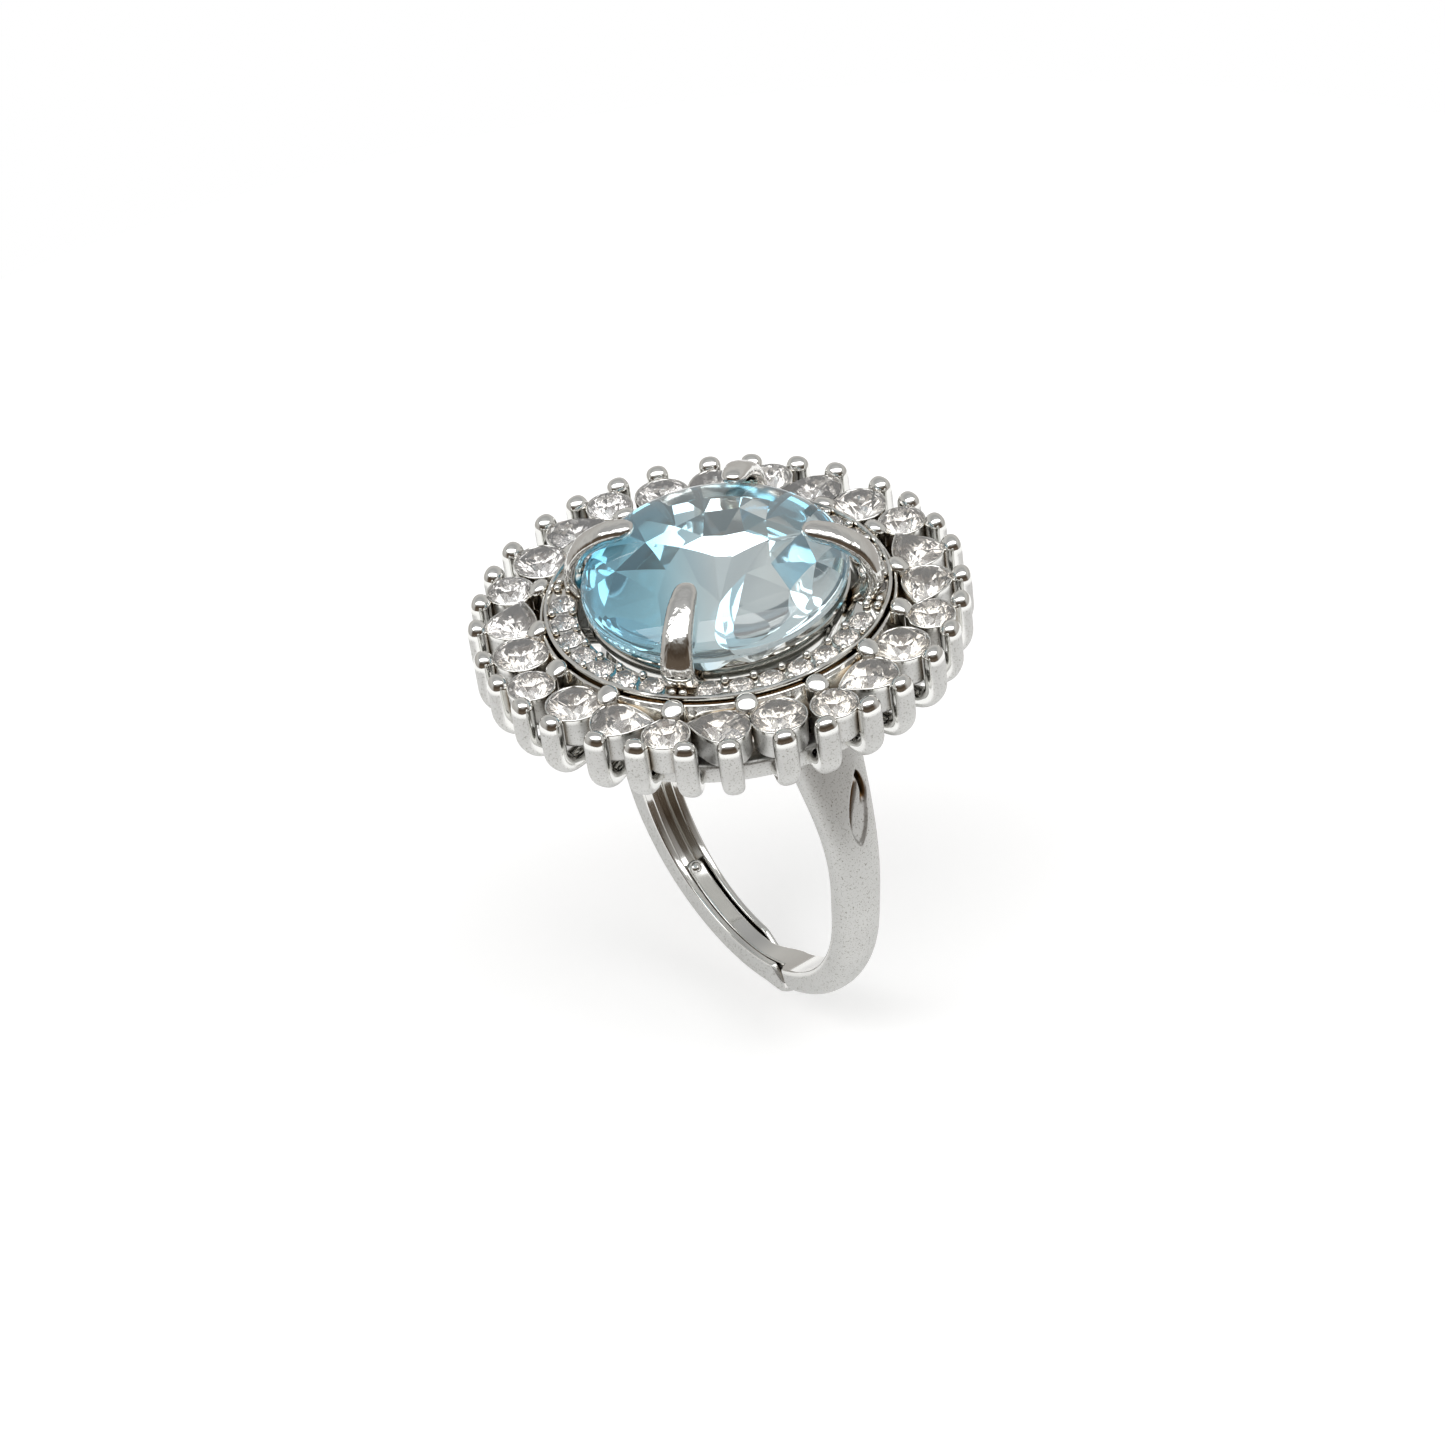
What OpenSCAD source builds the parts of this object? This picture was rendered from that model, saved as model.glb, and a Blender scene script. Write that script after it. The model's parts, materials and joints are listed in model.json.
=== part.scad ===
// Adjustable cocktail ring: a domed centre stone, a pave ring and a halo of twenty-four claw-set stones
// on a band whose right half slides as a tongue in the channel of its left half.
// Origin: centre of the finger hole. Y is the finger axis, Z points up to the head. Millimetres.
// Angles round the head run from -Y towards +X. Angles round the band run from +X towards +Z.

/* [Finger size] */
// Inside diameter of the band at rest
finger_d = 17; // [16:0.5:19]

/* [Band] */
// Radial thickness of the band
band_t = 1.6; // [1.4:0.1:1.8]
// Width of the band at its lowest point
band_w = 1.9; // [1.8:0.1:2.4]
// How much wider the band is at the height of the finger's axis
band_flare = 0.6; // [0.2:0.1:0.8]
// Width of the tongue that slides in the channel
tongue_w = 1.0; // [0.8:0.1:1.0]
// Angle at which the tongue ends
tongue_end = -135; // [-150:5:-120]
// Angle at which the channel ends
channel_end = -75; // [-80:5:-70]

/* [Head] */
// Height of the gallery's underside above the finger's axis
gallery_z = 10.8; // [10.6:0.1:12]
// Turn of the whole head on the band
head_twist = -6; // [-10:1:10]
// Height of the claws of the halo
claw_h = 3.9; // [3.6:0.1:4.4]
// Diameter of a halo claw
claw_d = 1.2; // [1.0:0.05:1.2]
// Radius at which the halo claws stand
claw_ring_r = 12.5; // [12.5:0.1:13]

/* [Centre stone] */
// Length of the centre stone
stone_l = 14.8; // [14.2:0.1:14.9]
// Width of the centre stone
stone_w = 13.8; // [13.2:0.1:14.2]
// Height of its girdle above the gallery's underside
girdle_h = 5.1; // [5.1:0.1:5.3]
// Height of its domed crown
dome_h = 2.4; // [1.6:0.1:2.4]
// Depth of its pavilion
pavilion_h = 4; // [3.6:0.1:4.2]

/* [Small stones] */
// Diameter of the small round halo stones
small_d = 2.2; // [1.8:0.05:2.2]
// Diameter of the large round halo stones
large_d = 2.6; // [2.2:0.05:2.6]
// Length of the pear-cut halo stones
pear_l = 2.9; // [2.6:0.05:2.9]
// Width of the pear-cut halo stones
pear_w = 2.3; // [1.8:0.05:2.3]
// Diameter of the pave stones
pave_d = 1.35; // [1.1:0.05:1.35]

/* [Hidden] */
$fn = 48;
eps = 0.01;

// Band
finger_r = finger_d / 2;
outer_r = finger_r + band_t;
mid_r = (finger_r + outer_r) / 2;
pivot_z = -0.4;
knuckle_r = band_t / 2;
knuckle_gap = 0.05;
arm_start = channel_end + 3;
tongue_in = finger_r + 0.15;
tongue_out = finger_r + 0.85;
floor_r = finger_r + 1.1;
groove_w = tongue_w + 0.24;
groove_top = 8;
bump_r = 0.38;
big = 40;

// Head
tip_z = gallery_z + claw_h;
claw_r = claw_d / 2;
elbow_r = 1.1;
plate_t = 0.5;
plate_in = 7.4;
rim_in = 9.9;
rim_out = 10.8;
rim_h = 1.1;
halo_groups = 8;
group_step = 360 / halo_groups;
claw_offsets = [-16, -5.8, 5.8, 16];
small_ring_r = 11.2;
large_ring_r = 10.6;
large_offset = 14.8;
pear_offset = 13.6;
pear_turn = 15;
// Cut of the two stones beside each small one: round (0) or pear (1), left then right
pair_cuts = [[0, 0], [1, 1], [0, 1], [0, 1], [1, 0], [1, 1], [0, 1], [0, 1]];
halo_girdle_z = gallery_z + 3.3;
halo_girdle = 0.1;
halo_crown = 0.5;
halo_pavilion = 1.25;
collet_rim = 0.1;
// How far below a halo stone's girdle its collet ends, and the size of its hole as a share of the stone
collet_drop = 0.55;
collet_hole = 0.66;
prong_r = 0.45;
prong_rings = [9.6, 9.4];

// Pave ring
pave_ring_r = 8.05;
pave_in = 7.25;
pave_out = 8.9;
pave_top = gallery_z + 3.85;
pave_plate_t = 0.75;
pave_girdle_z = pave_top - 0.05;
pave_girdle = 0.06;
pave_crown = 0.26;
pave_pavilion = 0.6;
skirt_t = 0.6;
pave_groups = 4;
pave_per_group = 7;
pave_step = 11.4;
seat_gap = 0.02;
bead_r = 0.18;
bead_rings = [7.45, 8.65];
rail_h = 0.25;
rail_t = 0.16;
// Notches that let the centre claws through the pave plate
notch_gap = 0.03;
notch_r = 8.2;

// Centre setting
girdle_z = gallery_z + girdle_h;
girdle_t = 0.16;
culet_z = girdle_z - pavilion_h - girdle_t / 2;
seat_in = 5.3;
seat_out = 6.4;
seat_h = 1.4;
stone_gap = 0.05;
basket_in = 5.0;
basket_out = 6.2;
basket_h = 0.9;
spoke_w = 1.2;
spoke_in = 5.5;
spoke_out = pave_out - skirt_t - 0.05;
centre_claw_w = 1.3;
centre_claw_t = 1;
notch_w = centre_claw_w + 2 * notch_gap;
// Radius and height above the gallery's underside of each bend of a centre claw
centre_claw_path =
    [[5.6, 0.5], [6.9, 3.3], [7.9, 4.4], [8.02, 5.4], [7.4, 6.55], [6.2, 7.35], [5.0, 7.6]];

function two_digits(i) = i < 10 ? str("0", i) : str(i);
halo_names = [for (i = [1 : 3 * halo_groups]) str("halo_stone_", two_digits(i))];
pave_names = [for (i = [1 : pave_groups * pave_per_group]) str("pave_stone_", two_digits(i))];

satin = "#c9c8c6";
polished = "#d9d8d5";
aqua = [0.55, 0.82, 0.9, 0.8];
clear = [0.93, 0.95, 0.97, 0.8];

// ---- Band ----

// Half the band's width at a height z
function half_width(z) = band_w / 2 + band_flare / 2 * pow((z + outer_r) / outer_r, 2);

function bezier(a, b, c, d, t) =
    pow(1 - t, 3) * a + 3 * pow(1 - t, 2) * t * b + 3 * (1 - t) * t * t * c + pow(t, 3) * d;
shoulder_steps = 10;
function curve(a, b, c, d) = [for (i = [0 : shoulder_steps]) bezier(a, b, c, d, i / shoulder_steps)];
// Outer and inner faces of a shoulder, from the knuckle up to the gallery
shoulder_outer = curve([outer_r, pivot_z], [outer_r + 0.7, 4], [outer_r, 6], [8.9, gallery_z]);
shoulder_inner = curve([finger_r, pivot_z], [finger_r + 0.9, 4.5], [7.9, 7], [6.9, gallery_z]);
groove_share = (floor_r - finger_r) / band_t;
groove_floor = [
    for (i = [0 : shoulder_steps])
        shoulder_inner[i] * (1 - groove_share) + shoulder_outer[i] * groove_share
];

function reversed(list) = [for (i = [len(list) - 1 : -1 : 0]) list[i]];

module disc_y(r, w) {
    rotate([90, 0, 0]) cylinder(r = r, h = w, center = true, $fn = 120);
}

module plate_y(points, w) {
    rotate([90, 0, 0]) linear_extrude(height = w, center = true) polygon(points);
}

// Tapered side faces of the band
module side_taper() {
    zs = [for (z = [-12 : 1 : 12]) z];
    near = [for (z = zs) [-half_width(z), z]];
    far = [for (z = reversed(zs)) [half_width(z), z]];
    rotate([90, 0, 90]) linear_extrude(height = big, center = true) polygon(concat(near, far));
}

// Wedge of the band's plane between two angles less than 180 degrees apart
module sector(a0, a1) {
    mid = (a0 + a1) / 2;
    half = (a1 - a0) / 2;
    reach = big / cos(half / 2);
    points = [
        [0, 0],
        reach * [cos(a0), sin(a0)],
        reach * [cos(mid), sin(mid)],
        reach * [cos(a1), sin(a1)]
    ];
    plate_y(points, big);
}

module band_sector(r_in, r_out, w, a0, a1) {
    intersection() {
        difference() {
            disc_y(r_out, w);
            disc_y(r_in, w + 2);
        }
        sector(a0, a1);
    }
}

module at_pivot(side) {
    translate([side * mid_r, 0, pivot_z]) children();
}

module shoulder(side) {
    outline = concat(shoulder_outer, reversed(shoulder_inner));
    intersection() {
        union() {
            plate_y([for (p = outline) [side * p[0], p[1]]], 6);
            at_pivot(side) disc_y(knuckle_r, 6);
        }
        side_taper();
    }
}

module right_shoulder() {
    color(satin) shoulder(1);
}

module left_shoulder() {
    groove = concat(groove_floor, [[2, gallery_z], [2, pivot_z - 2], [floor_r, pivot_z - 2]]);
    color(satin) difference() {
        shoulder(-1);
        intersection() {
            plate_y([for (p = groove) [-p[0], p[1]]], groove_w);
            translate([0, 0, groove_top - big / 2]) cube([big, big, big], center = true);
        }
    }
}

// Everything of a moving half-band that lies below its knuckle's socket
module arm(side, a0, a1) {
    difference() {
        intersection() {
            band_sector(finger_r, outer_r, 6, a0, a1);
            side_taper();
            translate([0, 0, pivot_z - big / 2]) cube([big, big, big], center = true);
        }
        at_pivot(side) disc_y(knuckle_r + knuckle_gap, 8);
    }
}

module tongue_band() {
    bump_at = tongue_end + 3;
    bump_ring = finger_r + bump_r + 0.02;
    color(satin) union() {
        arm(1, arm_start, 0);
        band_sector(tongue_in, tongue_out, tongue_w, tongue_end, arm_start + 2);
        translate([bump_ring * cos(bump_at), 0, bump_ring * sin(bump_at)]) sphere(r = bump_r);
    }
}

module channel_band() {
    color(satin) difference() {
        arm(-1, -180, channel_end);
        disc_y(floor_r, groove_w);
    }
}

// ---- Stones ----

// Closed solid from one outline: rings of [scale, z], an apex below, and an apex or a flat table on top
module cut_stone(outline, rings, low, high = undef) {
    n = len(outline);
    count = len(rings);
    pointed = high != undef;
    ring_points = [for (r = rings) for (p = outline) [p[0] * r[0], p[1] * r[0], r[1]]];
    points = concat(ring_points, [[0, 0, low]], pointed ? [[0, 0, high]] : []);
    under = [for (i = [0 : n - 1]) [n * count, i, (i + 1) % n]];
    sides = [
        for (k = [0 : count - 2])
            for (i = [0 : n - 1])
                [k * n + i, (k + 1) * n + i, (k + 1) * n + (i + 1) % n, k * n + (i + 1) % n]
    ];
    last = (count - 1) * n;
    table = [[for (i = [n - 1 : -1 : 0]) last + i]];
    fan = [for (i = [0 : n - 1]) [n * count + 1, last + (i + 1) % n, last + i]];
    polyhedron(points, concat(under, sides, pointed ? fan : table));
}

function oval(a, b, n) = [for (i = [0 : n - 1]) [a * cos(i * 360 / n), b * sin(i * 360 / n)]];
// Teardrop with its point towards +X
function teardrop(l, w, n) = [
    for (i = [0 : n - 1])
        let (t = i * 360 / n)
        [l / 2 * cos(t), w / 1.54 * sin(t) * sin(t / 2)]
];

module halo_stone_shape(cut) {
    rings = [[1, -halo_girdle / 2], [1, halo_girdle / 2], [0.6, halo_crown]];
    if (cut == 0) cut_stone(oval(large_d / 2, large_d / 2, 12), rings, -halo_pavilion);
    if (cut == 1) cut_stone(teardrop(pear_l, pear_w, 14), rings, -halo_pavilion);
    if (cut == 2) cut_stone(oval(small_d / 2, small_d / 2, 12), rings, -halo_pavilion);
}

// Puts its child on the head: local -Y points outwards
module on_head(angle, r, z) {
    rotate([0, 0, angle + head_twist]) translate([0, -r, z]) children();
}

// side is -1 or 1 for the stones of a pair and 0 for the small stone between them
module at_halo_seat(group, side, cut, z) {
    offset = side == 0 ? 0 : side * (cut == 1 ? pear_offset : large_offset);
    r = side == 0 ? small_ring_r : large_ring_r;
    on_head(group * group_step + offset, r, z) children();
}

function cut_of(group, side) = side == 0 ? 2 : pair_cuts[group][side < 0 ? 0 : 1];
// A pear's point looks towards the small stone and a little inwards
function turn_of(side, cut) = cut == 1 ? (side > 0 ? 180 - pear_turn : pear_turn) : 0;

module halo_stone(i) {
    group = floor((i - 1) / 3);
    side = (i - 1) % 3 - 1;
    cut = cut_of(group, side);
    color(clear) at_halo_seat(group, side, cut, halo_girdle_z)
        rotate([0, 0, turn_of(side, cut)]) halo_stone_shape(cut);
}

function pave_angle(i) =
    let (group = floor((i - 1) / pave_per_group), k = (i - 1) % pave_per_group)
    group * 90 + (k - (pave_per_group - 1) / 2) * pave_step;

module pave_stone(i) {
    rings = [[1, -pave_girdle / 2], [1, pave_girdle / 2], [0.6, pave_crown]];
    color(clear) on_head(pave_angle(i), pave_ring_r, pave_girdle_z)
        cut_stone(oval(pave_d / 2, pave_d / 2, 8), rings, -pave_pavilion);
}

// The centre claws stand halfway between the groups of pave stones, at the ends of the stone's axes
function claw_angle(k) = 90 * k + 45;
function claw_inset(k) = k % 2 == 0 ? 0 : (stone_l - stone_w) / 2;

module center_stone() {
    rings = [
        [1, girdle_z - girdle_t / 2],
        [1, girdle_z + girdle_t / 2],
        [0.93, girdle_z + dome_h * 0.3],
        [0.78, girdle_z + dome_h * 0.62],
        [0.52, girdle_z + dome_h * 0.88],
        [0.25, girdle_z + dome_h * 0.98]
    ];
    color(aqua) rotate([0, 0, head_twist + claw_angle(0) - 90])
        cut_stone(oval(stone_l / 2, stone_w / 2, 24), rings, culet_z, girdle_z + dome_h);
}

// ---- Head ----

module ring(r_in, r_out, z0, z1) {
    difference() {
        translate([0, 0, z0]) cylinder(r = r_out, h = z1 - z0, $fn = 120);
        translate([0, 0, z0 - 1]) cylinder(r = r_in, h = z1 - z0 + 2, $fn = 120);
    }
}

// J-shaped claw: a foot from the gallery, an elbow, a straight shank and a domed tip
module halo_claw() {
    foot_z = gallery_z + claw_r;
    rise = tip_z - claw_r;
    foot_l = claw_ring_r - elbow_r - (rim_in + rim_out) / 2;
    translate([0, -claw_ring_r, foot_z + elbow_r]) cylinder(r = claw_r, h = rise - foot_z - elbow_r);
    translate([0, -claw_ring_r, rise]) sphere(r = claw_r);
    translate([0, elbow_r - claw_ring_r, foot_z + elbow_r])
        rotate([0, 90, 0]) rotate([0, 0, -90])
            rotate_extrude(angle = 90) translate([elbow_r, 0]) circle(r = claw_r);
    translate([0, elbow_r - claw_ring_r, foot_z]) rotate([-90, 0, 0]) cylinder(r = claw_r, h = foot_l);
}

module collet(d, h) {
    difference() {
        cylinder(r = d / 2 + collet_rim, h = h);
        translate([0, 0, -1]) cylinder(r = d / 2 * collet_hole, h = h + 2);
    }
}

module pear_collet(h) {
    rim = 2 * collet_rim;
    difference() {
        linear_extrude(height = h) polygon(teardrop(pear_l + rim, pear_w + rim, 14));
        translate([0, 0, -1]) linear_extrude(height = h + 2)
            polygon(teardrop(pear_l * collet_hole, pear_w * collet_hole, 14));
    }
}

module halo_collet(cut) {
    h = halo_girdle_z - collet_drop - gallery_z - plate_t / 2;
    if (cut == 0) collet(large_d, h);
    if (cut == 1) pear_collet(h);
    if (cut == 2) collet(small_d, h);
}

module halo_gallery() {
    color(polished) union() {
        ring(plate_in, rim_out, gallery_z, gallery_z + plate_t);
        ring(rim_in, rim_out, gallery_z, gallery_z + rim_h);
        for (g = [0 : halo_groups - 1]) {
            for (a = claw_offsets)
                on_head(g * group_step + a, 0, 0) halo_claw();
            for (side = [-1 : 1])
                at_halo_seat(g, side, cut_of(g, side), gallery_z + plate_t / 2)
                    rotate([0, 0, turn_of(side, cut_of(g, side))]) halo_collet(cut_of(g, side));
            for (k = [0, 1])
                on_head((g + k / 2) * group_step, prong_rings[k], 0) {
                    translate([0, 0, gallery_z + plate_t / 2])
                        cylinder(r = prong_r, h = claw_h - prong_r - plate_t / 2);
                    translate([0, 0, tip_z - prong_r]) sphere(r = prong_r);
                }
        }
    }
}

module pave_ring() {
    under = pave_top - pave_plate_t;
    color(polished) difference() {
        union() {
            ring(pave_in, pave_out, under, pave_top);
            ring(pave_out - skirt_t, pave_out, gallery_z + plate_t, under + eps);
            ring(pave_out - rail_t, pave_out, pave_top - eps, pave_top + rail_h);
            for (g = [0 : pave_groups - 1])
                for (k = [0 : pave_per_group - 2])
                    for (r = bead_rings)
                        on_head(g * 90 + (k - (pave_per_group - 2) / 2) * pave_step, r, pave_top)
                            sphere(r = bead_r, $fn = 24);
        }
        for (i = [1 : pave_groups * pave_per_group])
            on_head(pave_angle(i), pave_ring_r, under - 1) cylinder(r = pave_d / 2 + seat_gap, h = 3);
        for (k = [0 : 3])
            on_head(claw_angle(k), notch_r, under - 1)
                translate([-notch_w / 2, 0, 0]) cube([notch_w, notch_r - pave_in + 1, 3]);
    }
}

// Flat claw that follows its path in the plane of the head's radius, rounded over its tip
module center_claw() {
    last = len(centre_claw_path) - 1;
    path = centre_claw_path;
    ahead = [for (i = [0 : last]) path[min(i + 1, last)] - path[max(i - 1, 0)]];
    half = [for (d = ahead) centre_claw_t / 2 * [-d[1], d[0]] / norm(d)];
    inner = [for (i = [0 : last]) path[i] + half[i]];
    outer = [for (i = [last : -1 : 0]) path[i] - half[i]];
    translate([0, 0, gallery_z]) rotate([90, 0, -90])
        linear_extrude(height = centre_claw_w, center = true) polygon(concat(inner, outer));
}

module center_basket() {
    seat_top = culet_z + (girdle_z - culet_z) * seat_out / (stone_l / 2);
    color(polished) union() {
        ring(basket_in, basket_out, gallery_z + 0.1, gallery_z + basket_h);
        difference() {
            ring(seat_in, seat_out, seat_top - seat_h, seat_top);
            translate([0, 0, culet_z - stone_gap])
                cylinder(r1 = 0, r2 = stone_l / 2, h = pavilion_h, $fn = 120);
        }
        for (k = [0 : 3])
            on_head(claw_angle(k), 0, 0) {
                translate([0, claw_inset(k), 0]) center_claw();
                translate([-spoke_w / 2, -spoke_out, gallery_z + plate_t])
                    cube([spoke_w, spoke_out - spoke_in, basket_h - plate_t]);
            }
    }
}

right_shoulder();
left_shoulder();
tongue_band();
channel_band();
halo_gallery();
pave_ring();
center_basket();
center_stone();
for (i = [1 : len(halo_names)])
    halo_stone(i);
for (i = [1 : len(pave_names)])
    pave_stone(i);
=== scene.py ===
"""Looks of the adjustable cocktail ring: band, gallery, claws, stones, floor, light and camera.
Lengths below are in millimetres and become metres when a mesh is made."""
import json
import math

import bpy
import numpy as np
from mathutils import Matrix, Vector


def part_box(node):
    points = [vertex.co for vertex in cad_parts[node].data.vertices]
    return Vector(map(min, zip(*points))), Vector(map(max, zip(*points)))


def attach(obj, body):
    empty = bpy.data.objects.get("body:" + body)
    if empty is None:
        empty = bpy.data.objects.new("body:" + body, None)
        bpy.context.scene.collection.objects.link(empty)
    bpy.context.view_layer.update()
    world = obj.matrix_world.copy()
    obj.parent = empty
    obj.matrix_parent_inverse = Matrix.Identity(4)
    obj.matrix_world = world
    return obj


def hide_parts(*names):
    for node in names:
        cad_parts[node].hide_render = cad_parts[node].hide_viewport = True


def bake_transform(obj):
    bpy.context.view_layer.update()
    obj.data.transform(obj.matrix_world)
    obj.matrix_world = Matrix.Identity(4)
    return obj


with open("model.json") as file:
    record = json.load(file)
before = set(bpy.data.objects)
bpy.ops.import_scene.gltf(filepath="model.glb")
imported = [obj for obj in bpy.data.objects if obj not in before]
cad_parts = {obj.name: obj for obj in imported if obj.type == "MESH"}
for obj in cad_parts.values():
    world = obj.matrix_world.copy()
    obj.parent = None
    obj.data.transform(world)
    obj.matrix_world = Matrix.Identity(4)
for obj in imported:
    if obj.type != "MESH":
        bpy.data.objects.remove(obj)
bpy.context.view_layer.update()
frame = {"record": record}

MM = 0.001
HEAD, RIGHT, LEFT = "head_and_shoulders", "right_band", "left_band"


def cad_mm(node):
    """Lowest and highest corner of a CAD node, in millimetres."""
    low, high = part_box(node)
    return np.array(low) / MM, np.array(high) / MM


# ---- Driving sizes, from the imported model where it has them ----
gallery_low, gallery_high = cad_mm("halo_gallery")
stone_low, stone_high = cad_mm("center_stone")
FINGER_R = frame["record"]["mounts"][0]["dims"]["r_mm"]
OUTER_R = -cad_mm("channel_band")[0][2]
BAND_T = OUTER_R - FINGER_R
GALLERY_Z = gallery_low[2]
TIP_Z = gallery_high[2]
TWIST = -6.0
HINGE_X, _, PIVOT_Z = (v / MM for v in frame["record"]["behaviour"]["joints"][0]["pos_m"])

# Height and width of the band, from its lowest point up to the gallery, and how far a corner is rounded off
BAND_WIDTHS = ((-OUTER_R, 1.9), (-5, 2.28), (0, 2.54), (4, 2.92), (8, 3.92), (GALLERY_Z, 4.4))
WIDTH_ROUNDING = 1.8
# Width and inner and outer radius of the tongue, radius of the channel's floor, width of its groove, and
# angles at which the tongue and the channel end
TONGUE_W = 1.0
TONGUE_IN = FINGER_R + 0.15
TONGUE_OUT = FINGER_R + 0.85
FLOOR_R = FINGER_R + 1.1
GROOVE_W = TONGUE_W + 0.24
TONGUE_END = -135.0
CHANNEL_END = -75.0
# Swelling of the channel at its end, and how far its rails are cut back there
LIP = 0.26
RAIL_CUT = 0.98

CLAW_RING_R = 12.5
CLAW_W = 1.24
CLAW_T = 1.08
CLAW_OFFSETS = (-16.0, -5.8, 5.8, 16.0)
GROUPS = 8
GROUP_STEP = 360.0 / GROUPS
HALO_COUNT = 3 * GROUPS
SMALL_RING_R = 11.2
LARGE_RING_R = 10.6
LARGE_OFFSET = 14.8
PEAR_OFFSET = 13.6
PEAR_TURN = 15.0
SMALL_D = 2.35
LARGE_D = 2.8
PEAR_L = 3.2
PEAR_W = 2.55
# Cut of the stones left and right of each small one: round (R) or pear (P)
PAIR_CUTS = ("RR", "PP", "RP", "RP", "PR", "PP", "RP", "RP")
HALO_GIRDLE_Z = GALLERY_Z + 3.42
PRONG_RINGS = (9.6, 9.4)
PRONG_R = 0.58

PAVE_D = 1.34
PAVE_RING_R = 8.05
PAVE_IN, PAVE_OUT = 7.25, 8.9
PAVE_TOP = GALLERY_Z + 3.85
PAVE_GROUPS = 4
PAVE_PER_GROUP = 7
PAVE_COUNT = PAVE_GROUPS * PAVE_PER_GROUP
PAVE_STEP = 11.4
BEAD_R = 0.22
BEAD_Z = PAVE_TOP + 0.14

GIRDLE_Z = GALLERY_Z + 5.1
DOME_H = stone_high[2] - GIRDLE_Z + 0.15
CULET_Z = stone_low[2]
STONE_A, STONE_B = 7.4, 6.9
# Angle of each centre claw, and how far it stands inwards to follow the oval
CLAW_AT = (45.0, 143.0, 225.0, 315.0)
CLAW_INSET = (0.0, -0.2, 0.0, STONE_A - STONE_B)


# ---- Mesh helpers ----
def piece(name, verts, faces, material, slot, smooth=True, body=HEAD, nodes=(), marks=None):
    """A mesh object from points in millimetres, riding on a body and standing for CAD nodes."""
    mesh = bpy.data.meshes.new(name)
    mesh.from_pydata([tuple(float(c) * MM for c in v) for v in verts], [], faces)
    mesh.validate()
    mesh.update()
    for mark, values in (marks or {}).items():
        mesh.attributes.new(mark, "FLOAT", "POINT").data.foreach_set("value", np.asarray(values, np.float32))
    mesh.polygons.foreach_set("use_smooth", [smooth] * len(mesh.polygons))
    mesh.materials.append(material)
    obj = bpy.data.objects.new(name, mesh)
    bpy.context.scene.collection.objects.link(obj)
    if nodes:
        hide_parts(*nodes)
    if body:
        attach(obj, body)
    return obj


class Builder:
    """Collects closed shells into one mesh."""

    def __init__(self):
        self.verts = []
        self.faces = []
        self.satin = []

    def add(self, verts, faces, satin=None):
        base = len(self.verts)
        self.verts.extend(np.asarray(verts, float))
        self.satin.extend(np.zeros(len(verts)) if satin is None else satin)
        self.faces.extend([tuple(base + i for i in f) for f in faces])

    def loft(self, rings, cap=True, closed=False, satin=None):
        """Skin over rings of equally many points; closed joins the last ring to the first."""
        n = len(rings[0])
        count = len(rings)
        verts = np.concatenate(rings)
        faces = []
        for k in range(count if closed else count - 1):
            a, b = k * n, (k + 1) % count * n
            for i in range(n):
                j = (i + 1) % n
                faces.append((a + i, a + j, b + j, b + i))
        if cap and not closed:
            faces.append(tuple(range(n - 1, -1, -1)))
            faces.append(tuple((count - 1) * n + i for i in range(n)))
        self.add(verts, faces, None if satin is None else np.concatenate(satin))

    def lathe(self, profile, steps, satin=0.0):
        """Closed profile of (radius, height) turned round Z."""
        angles = np.linspace(0, 2 * math.pi, steps, endpoint=False)
        rings = [np.array([(r * math.cos(a), r * math.sin(a), z) for r, z in profile]) for a in angles]
        self.loft(rings, closed=True, satin=[np.full(len(profile), satin)] * steps)

    def move(self, matrix, start=0):
        m = np.array(matrix)
        for i in range(start, len(self.verts)):
            self.verts[i] = m[:3, :3] @ self.verts[i] + m[:3, 3]

    def build(self, name, material, slot, marks=None, **more):
        marks = {"satin": self.satin, **(marks or {})}
        return piece(name, self.verts, self.faces, material, slot, marks=marks, **more)


def even(points, n):
    """n points at equal steps along a closed polyline, from its first point."""
    p = np.asarray(points, float)
    loop = np.vstack([p, p[:1]])
    steps = np.linalg.norm(np.diff(loop, axis=0), axis=1)
    at = np.concatenate([[0], np.cumsum(steps)])
    wanted = np.linspace(0, at[-1], n, endpoint=False)
    return np.stack([np.interp(wanted, at, loop[:, k]) for k in range(p.shape[1])], 1)


def rounded_box(w, t, power, n):
    """Closed outline of a superellipse w wide and t deep, with n even points."""
    a = np.linspace(0, 2 * math.pi, 721)[:-1]
    c, s = np.cos(a), np.sin(a)
    x = w / 2 * np.sign(c) * np.abs(c) ** (2 / power)
    y = t / 2 * np.sign(s) * np.abs(s) ** (2 / power)
    return even(np.stack([x, y], 1), n)


def smooth_path(points, per_leg):
    """Catmull-Rom curve through points."""
    p = [np.asarray(q, float) for q in points]
    p = [2 * p[0] - p[1], *p, 2 * p[-1] - p[-2]]
    out = []
    for k in range(1, len(p) - 2):
        for i in range(per_leg):
            t = i / per_leg
            a, b, c, d = p[k - 1 : k + 3]
            square = (2 * a - 5 * b + 4 * c - d) * t**2
            cube = (3 * b - a - 3 * c + d) * t**3
            out.append((b * 2 + (c - a) * t + square + cube) / 2)
    out.append(p[-2])
    return np.array(out)


def ease(t):
    """Smooth step from 0 to 1."""
    t = np.clip(t, 0, 1)
    return t * t * (3 - 2 * t)


def around(angle):
    """Turn that brings the -Y side to an angle of the head, twist included."""
    return Matrix.Rotation(math.radians(angle + TWIST), 4, "Z")


# ---- Materials ----
def new_material(name):
    m = bpy.data.materials.new(name)
    m.use_nodes = True
    tree = m.node_tree
    return m, tree, tree.nodes["Principled BSDF"]


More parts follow.
